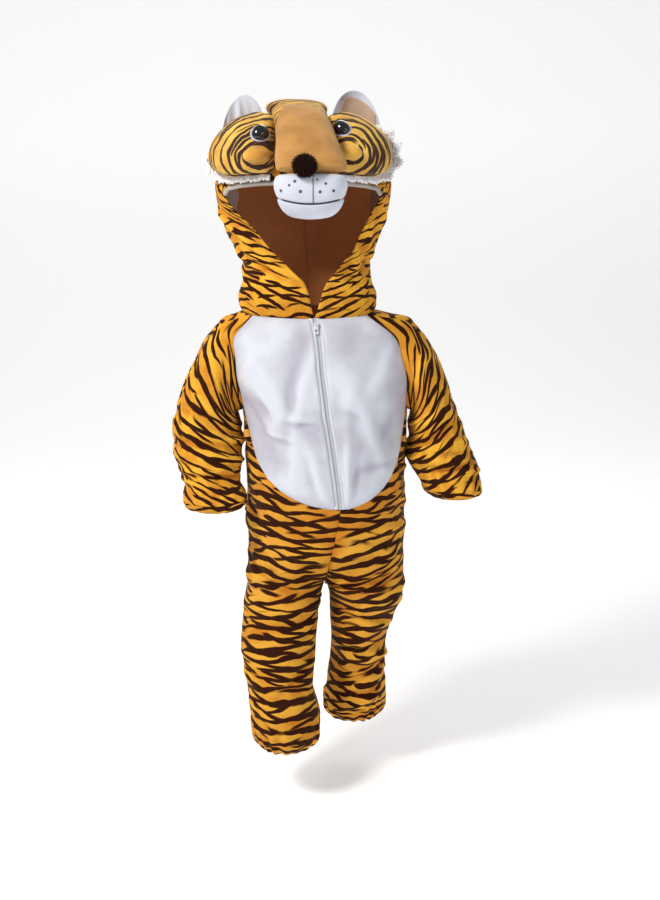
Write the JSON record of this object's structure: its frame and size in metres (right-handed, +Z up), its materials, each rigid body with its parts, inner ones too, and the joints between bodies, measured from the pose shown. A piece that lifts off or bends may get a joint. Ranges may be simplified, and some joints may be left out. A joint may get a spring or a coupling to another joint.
{
  "type": "tiger costume",
  "caption": "Hooded one-piece tiger suit of striped plush for a child, worn shape, with a white zipped front and a stuffed tiger head on the hood.",
  "frame": {"origin": "middle of the neck seam, between the wearer's shoulders, where the wearer carries the suit", "axes": "+Z up along the wearer, -Y to the suit's front, +X to the wearer's left"},
  "size_m": [0.5036, 0.3369, 1.0516],
  "materials": {
    "striped_plush": "short pile plush, golden orange with brown-black stripes",
    "head_plush": "short pile plush, yellow gold with thin black stripes",
    "white_plush": "short pile plush, cool white",
    "tan_felt": "brushed felt, tan",
    "brown_pompom": "fuzzy dark brown",
    "eye_gloss": "glossy black dome",
    "binding": "pale folded binding",
    "ear_lining": "beige brushed lining",
    "zip_tape": "white woven tape",
    "zip_white": "white moulded zip"
  },
  "bodies": {
    "suit": {"front_left": "striped_plush", "front_right": "striped_plush", "back_left": "striped_plush", "back_right": "striped_plush", "sleeve_left": "striped_plush", "sleeve_right": "striped_plush", "wrist_casing_left": "striped_plush", "wrist_casing_right": "striped_plush", "ankle_casing_left": "striped_plush", "ankle_casing_right": "striped_plush", "hood_left": "striped_plush", "hood_right": "striped_plush", "head_crown": "head_plush", "head_cheek_left": "head_plush", "head_cheek_right": "head_plush", "cheek_pad_left": "head_plush", "cheek_pad_right": "head_plush", "belly_left": "white_plush", "belly_right": "white_plush", "muzzle": "white_plush", "chin": "white_plush", "ear_left": "white_plush", "ear_right": "white_plush", "fringe_left": "white_plush", "fringe_right": "white_plush", "eye_felt_left": "white_plush", "eye_felt_right": "white_plush", "snout": "tan_felt", "nose": "brown_pompom", "eye_left": "eye_gloss", "eye_right": "eye_gloss", "hood_binding": "binding", "ear_inner_left": "ear_lining", "zip_tape_left": "zip_tape", "zip_tape_right": "zip_tape", "zip_chain": "zip_white", "zip_slider": "zip_white"},
    "zip_pull": {"zip_pull": "zip_white"}
  },
  "joints": [
    {"name": "zip_pull_swing", "type": "hinge", "parent": "suit", "child": "zip_pull", "pos_m": [0.01459, -0.0744, -0.00793], "axis": [-1, 0, 0], "range_deg": [0, 140]}
  ]
}
